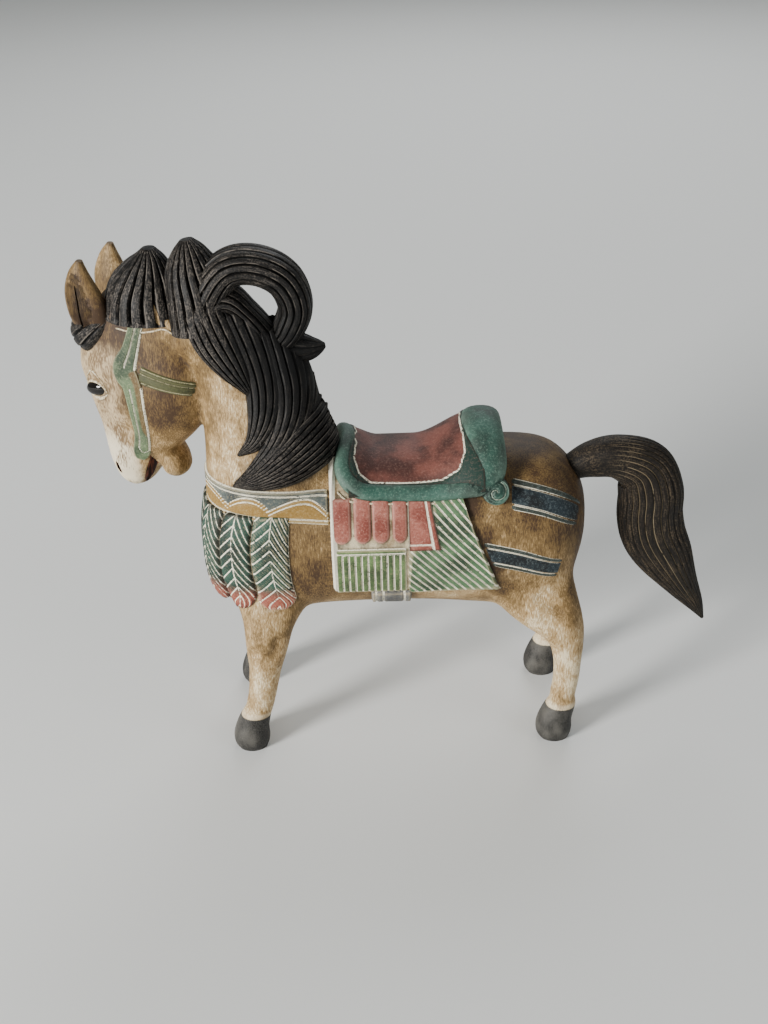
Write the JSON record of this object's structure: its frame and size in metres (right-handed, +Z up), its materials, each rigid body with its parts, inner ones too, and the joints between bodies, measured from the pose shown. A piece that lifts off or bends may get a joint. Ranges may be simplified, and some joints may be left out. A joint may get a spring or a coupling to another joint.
{
  "type": "carousel horse figure",
  "caption": "Hand-carved painted wooden carousel horse, standing, with turned tucked head, looped mane, saddle and fluted cloth, feathered breast collar and arched tail.",
  "frame": {"origin": "centre of the plan box, on the plane that the hooves stand on", "axes": "+X from the head to the tail, +Y to the horse's right, +Z up"},
  "size_m": [0.5438, 0.1304, 0.4555],
  "materials": {
    "painted_wood": "aged paint, rubbed and waxed",
    "dark_wood": "dark brown paint, rubbed along the cuts"
  },
  "bodies": {
    "root": {"horse": "painted_wood", "tail": "dark_wood"}
  },
  "joints": []
}
